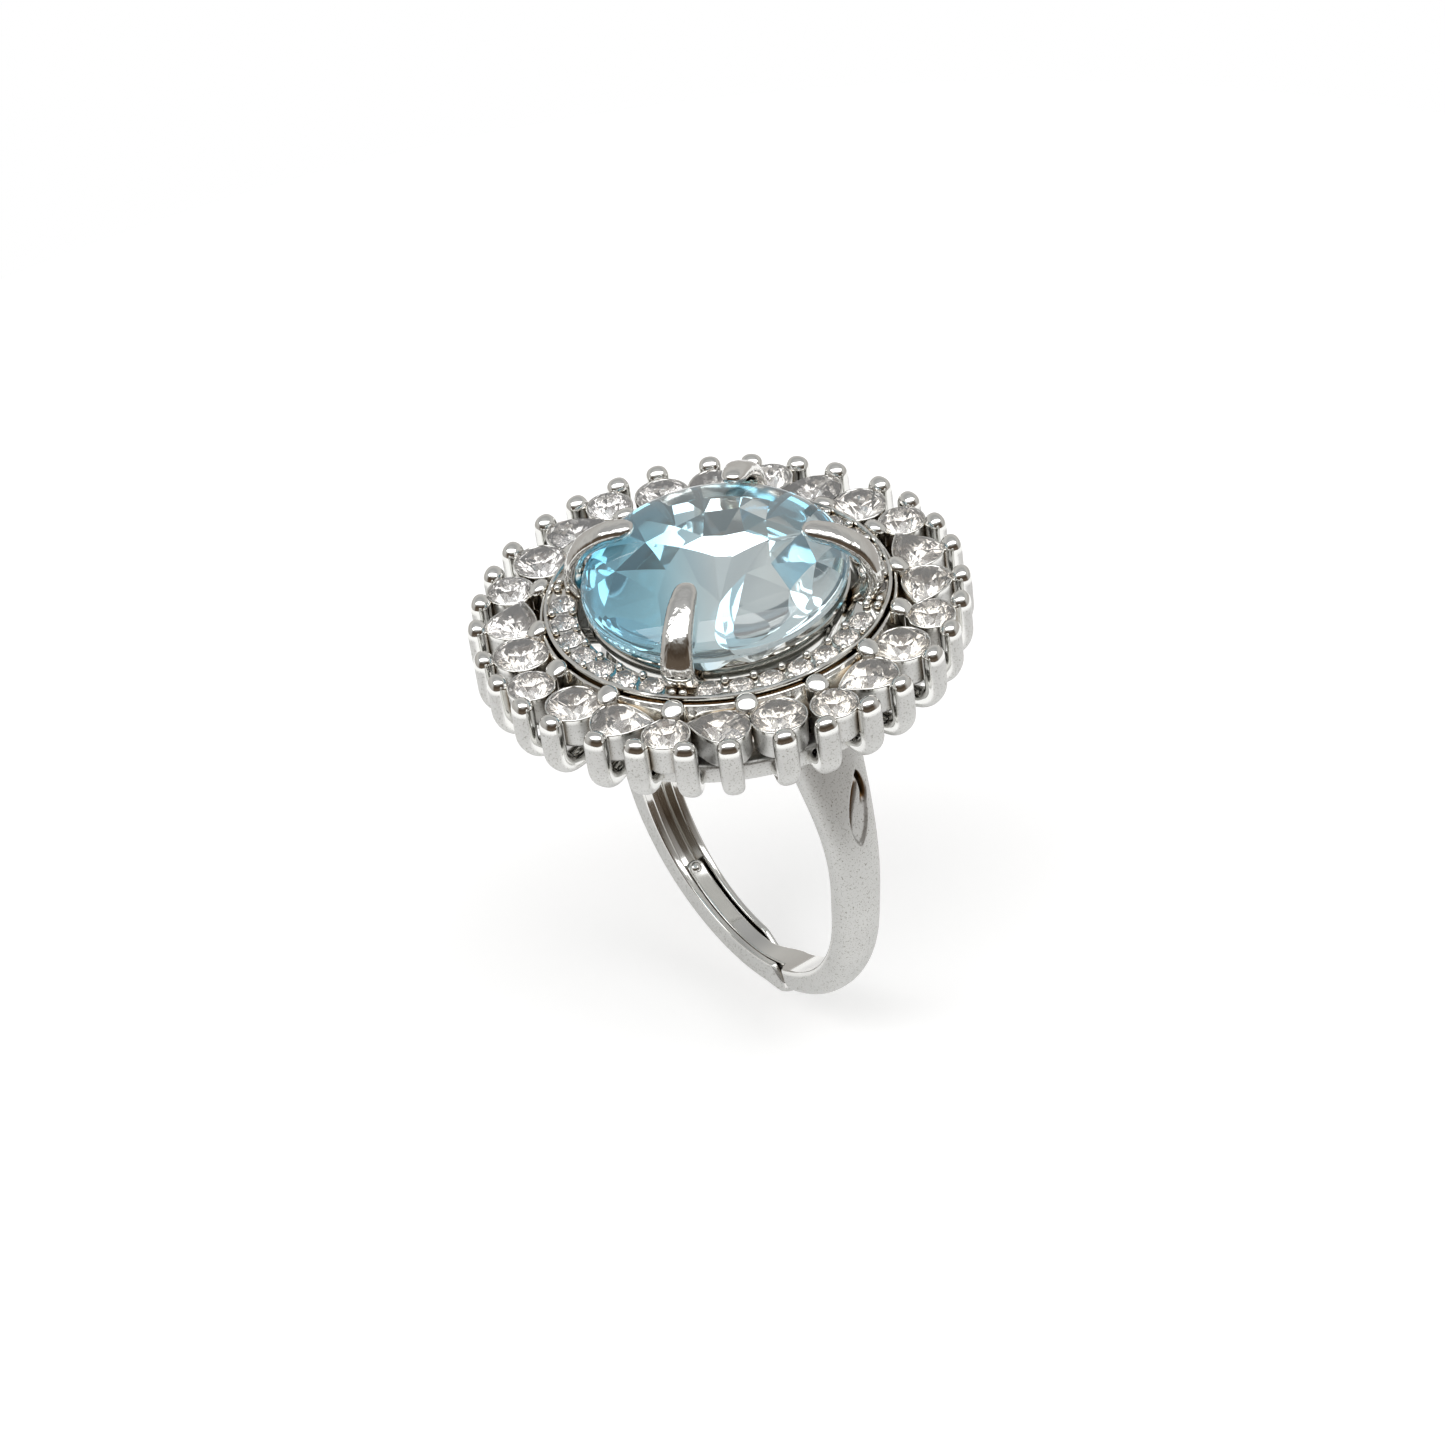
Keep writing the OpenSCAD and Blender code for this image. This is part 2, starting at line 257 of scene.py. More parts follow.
def node(tree, kind, **inputs):
    n = tree.nodes.new(kind)
    for key, value in inputs.items():
        n.inputs[key.replace("_", " ")].default_value = value
    return n


def object_coords(tree):
    return tree.nodes.new("ShaderNodeTexCoord").outputs["Object"]


def ramp(tree, factor, stops):
    r = tree.nodes.new("ShaderNodeValToRGB")
    while len(r.color_ramp.elements) < len(stops):
        r.color_ramp.elements.new(0.5)
    for e, (pos, colour) in zip(r.color_ramp.elements, stops):
        e.position = pos
        e.color = (*colour, 1)
    tree.links.new(factor, r.inputs["Fac"])
    return r.outputs["Color"]


def masked(tree, mask, a, b):
    """Colour b where the mask is 1 and a where it is 0; either may be a socket."""
    mix = tree.nodes.new("ShaderNodeMix")
    mix.data_type = "RGBA"
    tree.links.new(mask, mix.inputs["Factor"])
    for key, value in (("A", a), ("B", b)):
        if isinstance(value, tuple):
            mix.inputs[key].default_value = (*value, 1)
        else:
            tree.links.new(value, mix.inputs[key])
    return mix.outputs["Result"]


def multiplied(tree, a, b):
    mix = tree.nodes.new("ShaderNodeMix")
    mix.data_type = "RGBA"
    mix.blend_type = "MULTIPLY"
    mix.inputs["Factor"].default_value = 1.0
    tree.links.new(a, mix.inputs["A"])
    tree.links.new(b, mix.inputs["B"])
    return mix.outputs["Result"]


def attribute(tree, name):
    n = tree.nodes.new("ShaderNodeAttribute")
    n.attribute_name = name
    return n.outputs["Fac"]


# Painted shade in the leaf's slit cuts: brown where the slit mark is lower, as in the left cut, and black
# where it is full, as in the right one
SLIT_SHADE_BROWN, SLIT_SHADE_BLACK = (0.20, 0.115, 0.05), (0.02, 0.014, 0.008)
# Painted shade: warm brown that ambient occlusion lays into crevices, and how far it looks for them
CREVICE_SHADE = (0.50, 0.40, 0.29)
CREVICE_SHADE_REACH = 0.0008


def slit_shade(tree, tone):
    """Painted shade, brown to black, where the mesh is marked as a slit."""
    slit = attribute(tree, "slit")
    cover = tree.nodes.new("ShaderNodeMath")
    cover.operation = "MULTIPLY"
    cover.use_clamp = True
    cover.inputs[1].default_value = 2.0
    tree.links.new(slit, cover.inputs[0])
    # Painted shade colour inside the slit cuts
    depth = ramp(tree, slit, [(0.5, SLIT_SHADE_BROWN), (1.0, SLIT_SHADE_BLACK)])
    return masked(tree, cover.outputs["Value"], tone, depth)


def streak_lines(tree, coords, strength, bump):
    """Fine upright lines under a bump."""
    squash = tree.nodes.new("ShaderNodeVectorMath")
    squash.operation = "MULTIPLY"
    squash.inputs[1].default_value = (1, 1, 0.06)
    tree.links.new(coords, squash.inputs[0])
    lines = node(tree, "ShaderNodeTexNoise", Scale=2600.0, Detail=2.0, Roughness=0.5)
    tree.links.new(squash.outputs["Vector"], lines.inputs["Vector"])
    ridge = node(tree, "ShaderNodeBump", Strength=strength, Distance=0.00006)
    tree.links.new(lines.outputs["Fac"], ridge.inputs["Height"])
    tree.links.new(ridge.outputs["Normal"], bump.inputs["Normal"])


def metal(name, bright, matte, speck, streaks=0.0):
    """Rhodium plate: bright, or satin with dark specks where the mesh is marked, with painted warm shade in
    crevices.
    """
    m, tree, shader = new_material(name)
    link = tree.links.new
    coords = object_coords(tree)
    shader.inputs["Metallic"].default_value = 1.0
    satin = attribute(tree, "satin")
    grain = node(tree, "ShaderNodeTexNoise", Scale=11000.0, Detail=3.0, Roughness=0.65)
    cloud = node(tree, "ShaderNodeTexNoise", Scale=520.0, Detail=2.0, Roughness=0.5)
    for n in (grain, cloud):
        link(coords, n.inputs["Vector"])
    specks = ramp(tree, grain.outputs["Fac"], [(0.35, speck), (0.43, matte), (1.0, matte)])
    clouds = ramp(tree, cloud.outputs["Fac"], [(0.3, (0.94, 0.94, 0.94)), (0.7, (1, 1, 1))])
    tone = masked(tree, satin, bright, specks)
    tone = slit_shade(tree, tone)
    # Painted shade: crevices found by ambient occlusion are darkened to warm brown
    hollow = tree.nodes.new("ShaderNodeAmbientOcclusion")
    hollow.samples = 6
    hollow.inputs["Distance"].default_value = CREVICE_SHADE_REACH
    crevice_shade = ramp(tree, hollow.outputs["AO"], [(0.0, CREVICE_SHADE), (0.6, (1, 1, 1))])
    tone = multiplied(tree, multiplied(tree, tone, clouds), crevice_shade)
    link(tone, shader.inputs["Base Color"])
    rough = node(tree, "ShaderNodeMapRange")
    rough.inputs["To Min"].default_value = 0.09
    rough.inputs["To Max"].default_value = 0.44
    link(satin, rough.inputs["Value"])
    link(rough.outputs["Result"], shader.inputs["Roughness"])
    height = tree.nodes.new("ShaderNodeMath")
    height.operation = "MULTIPLY"
    link(grain.outputs["Fac"], height.inputs[0])
    link(satin, height.inputs[1])
    bump = node(tree, "ShaderNodeBump", Strength=0.45, Distance=0.00002)
    link(height.outputs["Value"], bump.inputs["Height"])
    if streaks:
        streak_lines(tree, coords, streaks, bump)
    link(bump.outputs["Normal"], shader.inputs["Normal"])
    return m


def gem(name, ior, colours, direction, spread, rough=0.0, clear=1.0, glow=None):
    """Cut glass whose colour drifts along a direction of the model, or the foil behind it, which can be
    given a painted glow.
    """
    m, tree, shader = new_material(name)
    link = tree.links.new
    coords = object_coords(tree)
    shader.inputs["Transmission Weight"].default_value = clear if glow is None else 0.0
    shader.inputs["Metallic"].default_value = 0.0 if glow is None else 1.0
    shader.inputs["IOR"].default_value = ior
    along = tree.nodes.new("ShaderNodeVectorMath")
    along.operation = "DOT_PRODUCT"
    along.inputs[1].default_value = direction
    link(coords, along.inputs[0])
    scaled = node(tree, "ShaderNodeMapRange")
    scaled.inputs["From Min"].default_value = -spread
    scaled.inputs["From Max"].default_value = spread
    link(along.outputs["Value"], scaled.inputs["Value"])
    tint = ramp(tree, scaled.outputs["Result"], colours)
    link(tint, shader.inputs["Base Color"])
    # Painted light: the foil glows in its own tint
    if glow is not None:
        link(tint, shader.inputs["Emission Color"])
        shader.inputs["Emission Strength"].default_value = glow
    haze = node(tree, "ShaderNodeTexNoise", Scale=900.0, Detail=2.0)
    link(coords, haze.inputs["Vector"])
    polish = node(tree, "ShaderNodeMapRange")
    polish.inputs["To Min"].default_value = rough
    polish.inputs["To Max"].default_value = rough + 0.02
    link(haze.outputs["Fac"], polish.inputs["Value"])
    link(polish.outputs["Result"], shader.inputs["Roughness"])
    return m


SATIN = metal("satin_rhodium", (0.78, 0.775, 0.75), (0.57, 0.57, 0.555), (0.26, 0.25, 0.22))
POLISHED = metal("polished_rhodium", (0.84, 0.84, 0.815), (0.60, 0.60, 0.585), (0.30, 0.29, 0.26))
DRAWN = metal("drawn_rhodium", (0.80, 0.795, 0.77), (0.60, 0.60, 0.585), (0.30, 0.29, 0.26), streaks=0.8)
# Direction and half-width in metres of each colour drift: over the whole head, and over the centre stone
SIDEWAYS, HEAD_SPREAD = (1, 0, 0), 0.013
ACROSS, STONE_SPREAD = (0.54, 0.84, 0.0), 0.0072
CLEAR_TINT = [(0.0, (0.97, 0.97, 0.98)), (1.0, (0.98, 0.975, 0.96))]
SILVER_TINT = [(0.0, (0.80, 0.79, 0.78)), (1.0, (0.80, 0.77, 0.73))]
AQUA_TINT = [(0.0, (0.90, 0.97, 0.99)), (1.0, (0.97, 0.99, 0.99))]
CLEAR = gem("clear_cut_glass", 1.75, CLEAR_TINT, SIDEWAYS, HEAD_SPREAD, 0.01, 0.9)
# Silver foil with a faint painted glow
SILVER_FOIL_GLOW = gem("silver_foil_painted_glow", 1.5, SILVER_TINT, SIDEWAYS, HEAD_SPREAD, 0.05, glow=0.03)
AQUA = gem("aqua_cut_glass", 1.6, AQUA_TINT, ACROSS, STONE_SPREAD, 0.0, 0.97)
# Aqua foil: deep blue at one end as the stone's own colour, pale in the middle as a painted reflection, and
# a painted glow
AQUA_FOIL_PAINTED_LIGHT = gem(
    "aqua_foil_painted_light",
    1.5,
    [
        (0.0, (0.10, 0.43, 0.62)),
        (0.32, (0.32, 0.62, 0.75)),
        (0.50, (0.76, 0.84, 0.86)),
        (0.70, (0.82, 0.87, 0.88)),
        (0.86, (0.60, 0.72, 0.77)),
        (1.0, (0.50, 0.65, 0.68)),
    ],
    ACROSS,
    STONE_SPREAD,
    0.02,
    glow=0.12,
)


# ---- Band ----
def half_width(z):
    """Half the band's width at a height, with the corners of its profile rounded off."""
    heights, widths = zip(*BAND_WIDTHS)
    near = z + np.linspace(-WIDTH_ROUNDING, WIDTH_ROUNDING, 13)
    return float(np.mean(np.interp(near, heights, widths))) / 2


def bezier(a, b, c, d, t):
    a, b, c, d = (np.asarray(q, float) for q in (a, b, c, d))
    return (1 - t) ** 3 * a + 3 * (1 - t) ** 2 * t * b + 3 * (1 - t) * t * t * c + t**3 * d


def arc(angle, r_in, r_out):
    """Inner and outer point of the round band at an angle."""
    u = np.array([math.cos(math.radians(angle)), math.sin(math.radians(angle))])
    return u * r_in, u * r_out


PIVOT_AT = math.degrees(math.asin(PIVOT_Z / FINGER_R))
ARC_PER_SHARE = 74.0
# Angle down to which the band follows the spine, length of the tongue's rounded end, and radius of its bump
SPINE_TO = -60
TONGUE_TIP = 3
BUMP_R = 0.38


def rough_spine(t):
    """The spine before its corners are smoothed."""
    if t < 0:
        return np.array(arc(PIVOT_AT + t * ARC_PER_SHARE, FINGER_R, OUTER_R))
    inner = bezier((FINGER_R, PIVOT_Z), (FINGER_R + 1.3, 4.5), (7.7, 7), (6.6, GALLERY_Z + 0.1), t)
    outer = bezier((OUTER_R, PIVOT_Z), (OUTER_R + 0.75, 4), (9.65, 6), (8.55, GALLERY_Z + 0.1), t)
    return np.array([inner, outer])


def spine(t):
    """Inner and outer point in the XZ plane: gallery at 1, pivot at 0 and the round band below it."""
    steps = np.linspace(-0.2, 0.2, 25)
    weights = np.exp(-((steps / 0.09) ** 2))
    smooth = sum(w * rough_spine(t + d) for w, d in zip(weights, steps)) / weights.sum()
    share = float(ease((t + 0.6) / 0.2)) * float(ease((1.2 - t) / 0.2))
    return tuple(share * smooth + (1 - share) * rough_spine(t))


def place(section, inner, outer, side=1):
    """Puts a section of (across, in-to-out share) points between an inner and an outer point."""
    flat = inner + np.outer(section[:, 1], outer - inner)
    return np.stack([side * flat[:, 0], section[:, 0], flat[:, 1]], 1)


def solid_section(hw, n):
    """Flat towards the finger, upright at the sides and domed outside."""
    a = np.linspace(0, math.pi, 181)
    c = np.cos(a)
    points = list(zip(hw * np.sign(c) * np.abs(c) ** 0.8, 0.4 + 0.6 * np.sin(a) ** 0.85))
    edge = 0.13
    for y, start in ((-hw + edge, 180), (hw - edge, 270)):
        for q in np.radians(np.linspace(start, start + 90, 9)):
            points.append((y + edge * math.cos(q), edge + edge * math.sin(q)))
    return even(points, n)


LEAF_LOW, LEAF_HIGH = 3.95, 8.1
LEAF_W = 0.62


def leaf_dent(p):
    """Depth of the leaf-shaped hollow in the right shoulder, and the share of its two slit cuts, where dark
    shade is painted.
    """
    along = (p[2] - LEAF_LOW) / (LEAF_HIGH - LEAF_LOW)
    if not 0 < along < 1:
        return 0.0, 0.0
    centre = 0.05 + 0.95 * along**1.3
    reach = LEAF_W * math.sin(math.pi * along**0.8) ** 0.8
    off = p[1] - centre
    dent = 0.15 * float(ease((reach - abs(off)) / 0.14))
    wedge = 0.06 + 0.14 * float(ease((along - 0.25) / 0.5))
    left_ends = float(ease((along - 0.2) * 6) * ease((0.82 - along) * 12))
    left = 0.6 * math.exp(-(((off + reach - 0.04 - wedge) / wedge) ** 4)) * left_ends
    bend = off - reach * 0.5 + 0.2 * math.sin(8 * along - 0.5)
    right_ends = float(ease((along - 0.48) * 9) * ease((0.93 - along) * 12))
    right = math.exp(-((bend / 0.15) ** 4)) * right_ends
    slit = max(left, right)
    return dent + 0.34 * slit, slit


def press_leaf(ring, inner, outer):
    """Presses the leaf into the outer face of a ring of points and gives each point's slit mark."""
    slit = np.zeros(len(ring))
    thick = np.linalg.norm(outer - inner)
    normal = (outer - inner) / thick
    for i, p in enumerate(ring):
        out = (np.array([p[0], p[2]]) - inner) @ normal / thick
        if out > 0.6:
            dent, slit[i] = leaf_dent(p)
            dent *= float(ease((out - 0.6) / 0.3))
            p[0] -= normal[0] * dent
            p[2] -= normal[1] * dent
    return slit


def tongue_ring(angle, n):
    """Ring of the lower right band: round band at first, then the tongue, rounded off at its end."""
    slim_far = float(ease((CHANNEL_END - angle) / 18))
    slim_near = float(ease((CHANNEL_END + 3.5 - angle) / 3))
    thin = float(ease((CHANNEL_END + 3.5 - angle) / 3.5))
    r_in = FINGER_R + (TONGUE_IN - FINGER_R) * slim_far
    r_out = OUTER_R + (TONGUE_OUT - OUTER_R) * thin
    z = math.sin(math.radians(angle)) * (r_in + r_out) / 2
    far = half_width(z) * (1 - slim_far) + TONGUE_W / 2 * slim_far
    near = half_width(z) * (1 - slim_near) + TONGUE_W / 2 * slim_near
    end = max(0.0, (TONGUE_END + TONGUE_TIP - angle) / TONGUE_TIP)
    shrink = math.sqrt(max(0.02, 1 - min(1.0, end) ** 2))
    mid = (r_in + r_out) / 2
    half = (r_out - r_in) / 2 * (0.4 + 0.6 * shrink)
    section = solid_section((far + near) / 2 * shrink, n) + ((far - near) / 2, 0)
    share = (angle - PIVOT_AT) / ARC_PER_SHARE
    ends = spine(share) if angle > SPINE_TO else arc(angle, mid - half, mid + half)
    return place(section, *ends)


def tongue_half():
    """Right shoulder and tongue as one skin."""
    n = 180
    rings, marks = [], []
    satin = ease((solid_section(half_width(0), n)[:, 1] - 0.02) / 0.1)
    for t in np.linspace(1, 0, 170):
        inner, outer = spine(t)
        hw = half_width((inner[1] + outer[1]) / 2)
        ring = place(solid_section(hw, n), inner, outer)
        marks.append(press_leaf(ring, inner, outer))
        rings.append(ring)
    tip_from = TONGUE_END + TONGUE_TIP
    arcs = [*np.linspace(-4, -66, 54), *np.linspace(-66.5, -96, 80), *np.linspace(-97, tip_from, 36)]
    arcs += [TONGUE_END + TONGUE_TIP * (1 - math.sin(a)) for a in np.linspace(0.15, math.pi / 2, 8)]
    rings += [tongue_ring(a, n) for a in arcs]
    b = Builder()
    b.loft(rings, satin=[satin] * len(rings))
    bump_ring = FINGER_R + 0.40
    at = math.radians(tip_from)
    ball(b, (bump_ring * math.cos(at), 0, bump_ring * math.sin(at)), BUMP_R, 24)
    slit = np.concatenate(marks)
    slit = np.pad(slit, (0, len(b.verts) - len(slit)))
    nodes = ("right_shoulder", "tongue_band")
    obj = b.build("tongue_half", SATIN, "satin_metal", marks={"slit": slit}, body=None, nodes=nodes)
    bend(obj, RIGHT, HINGE_X)


def bend(obj, body, hinge_x):
    """Bakes the placement of a half of the band into its mesh."""
    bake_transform(obj)


def ball(b, centre, r, n):
    """Closed ball."""
    rings = []
    for a in np.linspace(-math.pi / 2 + 0.05, math.pi / 2 - 0.05, n // 2):
        rings.append(
            np.array(
                [
                    (
                        centre[0] + r * math.cos(a) * math.cos(t),
                        centre[1] + r * math.cos(a) * math.sin(t),
                        centre[2] + r * math.sin(a),
                    )
                    for t in np.linspace(0, 2 * math.pi, n, endpoint=False)
                ]
            )
        )
    b.loft(rings)


def channel_section(hw, thick, depth, drop_near, drop_far, n):
    """Trough outline of (across, share of the thickness); each rail can be cut back from the finger side."""
    g = min(GROOVE_W / 2, hw - 0.08)
    edge, small = 0.11, 0.07
    crown = 0.42
    sweep = np.linspace(0.02, math.pi - 0.02, 25)
    pts = [(hw * math.cos(a), thick - crown + crown * math.sin(a) ** 0.75) for a in sweep]

    def corner(y, d, a0, a1, r):
        for a in np.radians(np.linspace(a0, a1, 6)):
            pts.append((y + r * math.cos(a), d + r * math.sin(a)))

    corner(-hw + edge, drop_near + edge, 180, 270, edge)
    corner(-g - small, drop_near + small, 270, 360, small)
    for y, drop, a0, a1 in ((-g, drop_near, 180, 90), (g, drop_far, 90, 0)):
        r = small if depth > drop + 0.2 else 0.001
        corner(y - math.copysign(r, y), max(depth, drop + 0.01) - r, a0, a1, r)
    corner(g + small, drop_far + small, 180, 270, small)
    corner(hw - edge, drop_far + edge, 270, 360, edge)
    out = even(np.array(pts), n)
    return np.stack([out[:, 0], out[:, 1] / thick], 1)


def satin_outside(section, thick, cut):
    """1 on the sides and the outer face of a trough section, 0 on its rails and in its groove."""
    across, out = np.abs(section[:, 0]), section[:, 1] * thick
    side = ease((across - GROOVE_W / 2 - 0.12) / 0.1) * ease((out - 0.03) / 0.1)
    return np.maximum(side, ease((out - cut - 0.2) / 0.1))


def channel_ring(away, angle, depth, n):
    """Ring of the lower left band, so many degrees away from the channel's end, and its satin marks."""
    tip = max(0.0, 1 - away / 5)
    round_off = math.sqrt(max(0.004, 1 - tip**2.6))
    near = RAIL_CUT * float(ease((5 - away) / 4))
    far = RAIL_CUT * float(ease((25 - away) / 12))
    hw = half_width(math.sin(math.radians(angle)) * OUTER_R) * (0.25 + 0.75 * round_off)
    r_out = OUTER_R + LIP * float(ease(1 - away / 12)) - 0.3 * (1 - round_off)
    thick = r_out - FINGER_R
    near, far = (min(cut, thick - 0.46) for cut in (near, far))
    section = channel_section(hw, thick, depth, near, far, n)
    from_pivot = -180 - angle
    share = (from_pivot - PIVOT_AT) / ARC_PER_SHARE
    ends = spine(share) if from_pivot > SPINE_TO else arc(from_pivot, FINGER_R, r_out)
    return place(section, *ends, side=-1), satin_outside(section, thick, depth)


def channel_half():
    """Left shoulder and channel as one skin."""
    n = 150
    depth = FLOOR_R - FINGER_R
    rings, satin = [], []
    for t in np.linspace(1, 0, 70):
        inner, outer = spine(t)
        thick = float(np.linalg.norm(outer - inner))
        z = (inner[1] + outer[1]) / 2
        fade = float(ease((9.6 - z) / 1.2))
        cut = depth / BAND_T * thick * fade
        section = channel_section(half_width(z), thick, cut, 0.0, 0.0, n)
        satin.append(satin_outside(section, thick, cut))
        rings.append(place(section, inner, outer, side=-1))
    end = CHANNEL_END + 1.5
    arcs = [*np.linspace(-176, end - 26, 60), *np.linspace(end - 25.5, end - 1.2, 70)]
    arcs += [end - 1.2 * (1 - math.sin(a)) for a in np.linspace(0.12, math.pi / 2, 14)]
    for a in arcs:
        ring, marks = channel_ring(end - a, a, depth, n)
        rings.append(ring)
        satin.append(marks)
    b = Builder()
    b.loft(rings, satin=satin)
    obj = b.build("channel_half", SATIN, "satin_metal", body=None, nodes=("left_shoulder", "channel_band"))
    bend(obj, LEFT, -HINGE_X)


# ---- Gallery, claws and prongs ----
TIP_STEPS = 12


def sweep_rz(b, path, widths, depths, power, n, angle, satin_to=0):
    """Claw: superellipse sections along a path of (radius, height), turned to an angle of the head."""
    power = np.interp(np.arange(len(path)), [len(path) - TIP_STEPS - 3, len(path) - 1], [power, 2.1])
    path = np.asarray(path, float)
    start = len(b.verts)
    rings, satin = [], []
    for k, p in enumerate(path):
        ahead = path[min(k + 1, len(path) - 1)] - path[max(k - 1, 0)]
        ahead /= np.linalg.norm(ahead)
        across = np.array([ahead[1], -ahead[0]])
        box = rounded_box(widths[k], depths[k], power[k], n)
        rz = p + np.outer(box[:, 1], across)
        rings.append(np.stack([box[:, 0], -rz[:, 0], rz[:, 1]], 1))
        satin.append(ease((box[:, 1] / depths[k] - 0.05) / 0.2) * float(k < satin_to))
    b.loft(rings, satin=satin)
    b.move(around(angle), start)


def domed(path, widths, depths, height, steps=TIP_STEPS, lean=0.0):
    """Adds a rounded end that leans inwards to a path of (radius, height)."""
    path = np.asarray(path, float)
    last = path[-1]
    ahead = last - path[-2]
    ahead /= np.linalg.norm(ahead)
    extra, ws, ds = [], [], []
    for a in np.linspace(0, math.pi / 2, steps + 1)[1:]:
        s, c = math.sin(a), max(0.06, math.cos(a))
        extra.append(last + ahead * height * s + np.array([-lean * s * s, 0]))
        ws.append(widths[-1] * c**0.75)
        ds.append(depths[-1] * c**0.85)
    return np.vstack([path, extra]), [*widths, *ws], [*depths, *ds]


def halo_claw(index, angle):
    elbow = 1.15
    foot_z = GALLERY_Z + 0.5
    path = [(10.3, foot_z), (10.9, foot_z)]
    for a in np.linspace(0, 90, 11):
        c, s = math.cos(math.radians(a)), math.sin(math.radians(a))
        path.append((CLAW_RING_R - elbow + elbow * s, foot_z + elbow - elbow * c))
    for z in np.linspace(foot_z + elbow + 0.3, TIP_Z - 0.62, 8):
        path.append((CLAW_RING_R, z))
    share = np.linspace(0, 1, len(path))
    widths = list(CLAW_W * (0.88 + 0.12 * ease(share * 1.2)))
    depths = list(CLAW_T * (0.88 + 0.12 * share))
    shank = len(path)
    path, widths, depths = domed(path, widths, depths, 0.62, lean=0.08)
    b = Builder()
    sweep_rz(b, path, widths, depths, 2.5, 36, angle, satin_to=shank - 1)
    return b.build(f"halo_claw_{index:02d}", POLISHED, "polished_metal")


def inner_prong(index, angle, radius):
    path = [(radius, z) for z in np.linspace(GALLERY_Z + 0.6, TIP_Z - 0.22, 7)]
    widths = [2 * PRONG_R * 1.08] * len(path)
    depths = [2 * PRONG_R] * len(path)
    path, widths, depths = domed(path, widths, depths, 0.40, lean=-0.1)
    b = Builder()
    sweep_rz(b, path, widths, depths, 2.2, 24, angle)
    return b.build(f"inner_prong_{index:02d}", POLISHED, "polished_metal")


def rounded_profile(r0, r1, z0, z1, edge):
    """Rectangle of (radius, height) with rounded corners."""
    pts = []
    left, right, low, high = r0 + edge, r1 - edge, z0 + edge, z1 - edge
    for r, z, a in ((right, low, 270), (right, high, 0), (left, high, 90), (left, low, 180)):
        for q in np.linspace(a, a + 90, 5):
            pts.append((r + edge * math.cos(math.radians(q)), z + edge * math.sin(math.radians(q))))
    return pts


# Radius and height above the gallery of the sloping web, then of the rail on its inner edge
SHELF = (
    *((8.95, 2.9), (10.2, 2.3), (10.2, 2.5), (9.24, 3.2)),
    *((9.24, 3.66), (9.19, 3.74), (9.11, 3.74), (9.06, 3.66), (9.05, 3.4), (8.95, 3.4)),
)


def gallery_ring():
    b = Builder()
    b.lathe(rounded_profile(9.7, 10.85, GALLERY_Z, GALLERY_Z + 1.15, 0.22), 160, satin=1.0)
    b.lathe(rounded_profile(7.4, 9.9, GALLERY_Z, GALLERY_Z + 0.5, 0.18), 160, satin=1.0)
    b.lathe([(r, GALLERY_Z + z) for r, z in SHELF], 160)
    return b.build("gallery_ring", POLISHED, "polished_metal", nodes=("halo_gallery",))


# ---- Stones ----
def round_outline(d):
    return lambda a: np.array([d / 2 * math.cos(a), d / 2 * math.sin(a)])


def oval_outline(a_half, b_half):
    return lambda a: np.array([a_half * math.cos(a), b_half * math.sin(a)])


def pear_outline(length, width):
    return lambda a: np.array([length / 2 * math.cos(a), width / 1.54 * math.sin(a) * math.sin(a / 2)])


def brilliant(b, outline, crown, pavilion, table=0.56, edge=0.05):
    """Fifty-seven facets on any outline; the girdle's middle is at height 0."""
    a45 = [math.radians(45 * i) for i in range(8)]
    star_r = 0.79
    star_z = crown * (1 - star_r * math.cos(math.pi / 8)) / (1 - table)
    low_r = 0.24
    low_z = -pavilion * (1 - low_r * math.cos(math.pi / 8))

    def at(r, a, z):
        return np.array([*(outline(a % (2 * math.pi)) * r), z])

    verts = [at(table, a, crown + edge / 2) for a in a45]
    verts += [at(star_r, a + math.pi / 8, star_z + edge / 2) for a in a45]
    verts += [at(1, math.radians(22.5 * i), edge / 2) for i in range(16)]
    verts += [at(1, math.radians(22.5 * i), -edge / 2) for i in range(16)]
    verts += [at(low_r, a + math.pi / 8, low_z - edge / 2) for a in a45]
    verts.append(np.array([0, 0, -pavilion - edge / 2]))
    star, upper, lower, low, culet = 8, 16, 32, 48, 56
    faces = [tuple(range(8))]
    for i in range(8):
        j, h = (i + 1) % 8, (i - 1) % 8
        here, after, beyond = 2 * i, 2 * i + 1, (2 * i + 2) % 16
        faces.append((i, star + i, j))
        faces.append((i, star + h, upper + here, star + i))
        faces.append((star + i, upper + here, upper + after))
        faces.append((star + i, upper + after, upper + beyond))
        faces.append((culet, low + i, lower + here, low + h))
        faces.append((low + i, lower + after, lower + here))
        faces.append((low + i, lower + beyond, lower + after))
    for i in range(16):
        j = (i + 1) % 16
        faces.append((upper + i, lower + i, lower + j, upper + j))
    b.add(verts, faces)


def seat_of(group, side):
    """Angle, ring radius and cut of a halo seat; side is 0 for the small stone of a group."""
    if side == 0:
        return group * GROUP_STEP, SMALL_RING_R, "S"
    cut = PAIR_CUTS[group][0 if side < 0 else 1]
    offset = PEAR_OFFSET if cut == "P" else LARGE_OFFSET
    return group * GROUP_STEP + side * offset, LARGE_RING_R, cut


def cut_outline(cut):
    outlines = {"S": round_outline(SMALL_D), "R": round_outline(LARGE_D), "P": pear_outline(PEAR_L, PEAR_W)}
    return outlines[cut]


def seat_matrix(group, side, z, spin=0.0):
    """Place of a halo seat; a round stone is spun by an angle and a pear looks at the small stone."""
    angle, r, cut = seat_of(group, side)
    turn = spin
    if cut == "P":
        turn = 180 - PEAR_TURN if side > 0 else PEAR_TURN
    local = Matrix.Translation((0, -r, z)) @ Matrix.Rotation(math.radians(turn), 4, "Z")
    return around(angle) @ local


